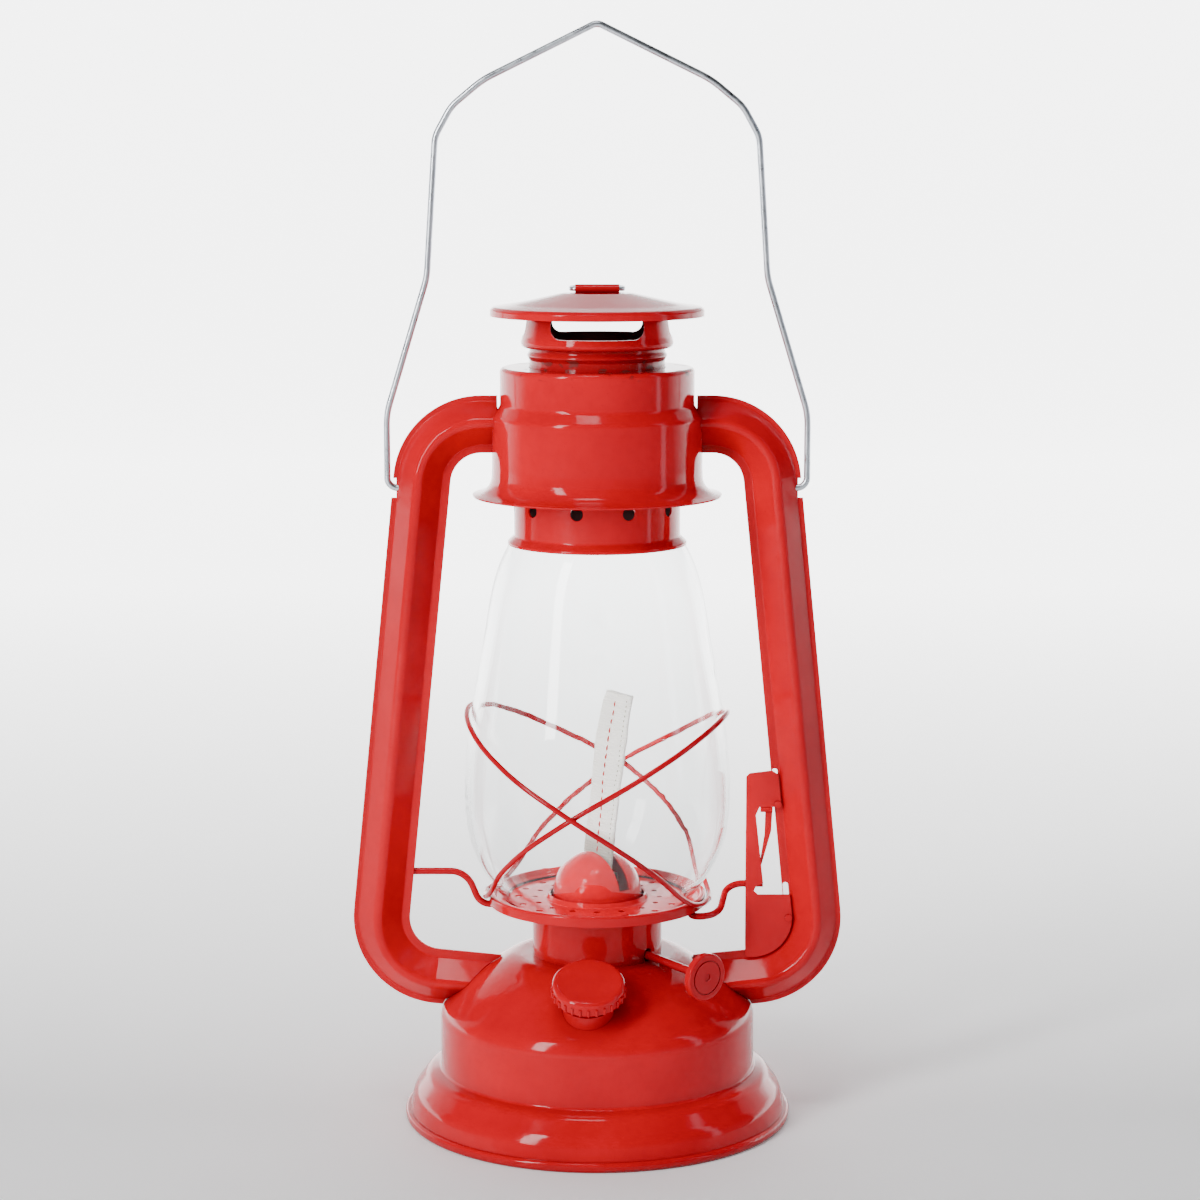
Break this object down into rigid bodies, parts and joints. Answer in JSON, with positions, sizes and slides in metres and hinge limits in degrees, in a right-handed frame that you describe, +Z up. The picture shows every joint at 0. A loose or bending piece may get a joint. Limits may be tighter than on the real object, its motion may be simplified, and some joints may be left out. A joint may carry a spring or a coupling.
{
  "type": "oil lamp",
  "caption": "Red tubular kerosene hurricane lantern with glass globe, wire guard and bail, filler cap, wick knob, globe lift lever and sprung chimney hood.",
  "frame": {"origin": "centre of the base ring on the ground it stands on", "axes": "+Z up, +X towards the globe lift lever's side tube, -Y towards the filler cap"},
  "size_m": [0.1768, 0.14, 0.393],
  "materials": {
    "red_enamel": "gloss",
    "zinc_wire": "satin zinc plate",
    "bright_steel": "bright tinned",
    "clear_glass": "clear",
    "wick_cotton": "woven cotton with a red thread",
    "seal_rubber": "matte",
    "brass_wheel": "plain"
  },
  "bodies": {
    "frame": {"base_skirt": "red_enamel", "tank_floor": "red_enamel", "tank_shell": "red_enamel", "filler_neck": "red_enamel", "burner_collar": "red_enamel", "burner_drum": "red_enamel", "wick_tube": "bright_steel", "burner_cone": "red_enamel", "tube_left_front": "red_enamel", "tube_left_back": "red_enamel", "tube_right_front": "red_enamel", "tube_right_back": "red_enamel", "canopy": "red_enamel"},
    "bail": {"bail": "zinc_wire"},
    "globe_carrier": {"globe": "clear_glass", "globe_plate": "red_enamel", "guard_ring_right": "red_enamel", "guard_ring_left": "red_enamel", "cradle_wire": "red_enamel", "chimney_spring": "zinc_wire"},
    "chimney": {"chimney_collar": "red_enamel", "chimney_tube": "red_enamel", "vent_ring": "red_enamel", "hood": "red_enamel", "hood_strap": "red_enamel"},
    "hood_loop": {"hood_ring": "zinc_wire"},
    "lever": {"lift_lever": "red_enamel", "lever_rivets": "red_enamel", "thumb_tab": "red_enamel"},
    "knob": {"wick_shaft": "red_enamel", "wick_knob": "red_enamel", "spur_wheels": "brass_wheel"},
    "wick": {"wick_core": "wick_cotton", "wick_top": "wick_cotton", "wick_tail": "wick_cotton"},
    "cap_seal": {"cap_gasket": "seal_rubber"},
    "cap": {"filler_cap": "red_enamel"}
  },
  "joints": [
    {"name": "bail_swing", "type": "hinge", "parent": "frame", "child": "bail", "pos_m": [0, 0, 0.22965], "axis": [1, 0, 0], "range_deg": [-150, 150]},
    {"name": "globe_lift", "type": "slide", "parent": "frame", "child": "globe_carrier", "axis": [0, 0, 1], "range_m": [0, 0.012], "deforming": ["chimney_spring"]},
    {"name": "chimney_lift", "type": "slide", "parent": "globe_carrier", "child": "chimney", "axis": [0, 0, 1], "range_m": [0, 0.017]},
    {"name": "hood_ring_swing", "type": "hinge", "parent": "chimney", "child": "hood_loop", "pos_m": [0, 0, 0.30007], "axis": [1, 0, 0], "range_deg": [0, 150]},
    {"name": "lever_lift", "type": "slide", "parent": "frame", "child": "lever", "axis": [-0.0998, 0, 0.995], "range_m": [0, 0.0121]},
    {"name": "wick_turn", "type": "hinge", "parent": "frame", "child": "knob", "pos_m": [0.00337, 0.00283, 0.0636], "axis": [0.6421, -0.7653, -0.0454], "range_deg": [0, 900]},
    {"name": "wick_travel", "type": "slide", "parent": "frame", "child": "wick", "axis": [0, 0, 1], "range_m": [-0.052, 0], "deforming": ["wick_top", "wick_tail"]},
    {"name": "cap_rise", "type": "slide", "parent": "frame", "child": "cap_seal", "axis": [0, -0.4226, 0.9063], "range_m": [0, 0.00601]},
    {"name": "cap_turn", "type": "hinge", "parent": "cap_seal", "child": "cap", "pos_m": [-0.003, -0.0445, 0.05258], "axis": [0, -0.4226, 0.9063], "range_deg": [0, 1080]}
  ],
  "couplings": [
    {"joint": "lever_lift", "follows": "globe_lift", "ratio": 1.005},
    {"joint": "wick_travel", "follows": "wick_turn", "m_per_rad": -0.0033},
    {"joint": "cap_rise", "follows": "cap_turn", "m_per_rad": 0.00031831}
  ]
}
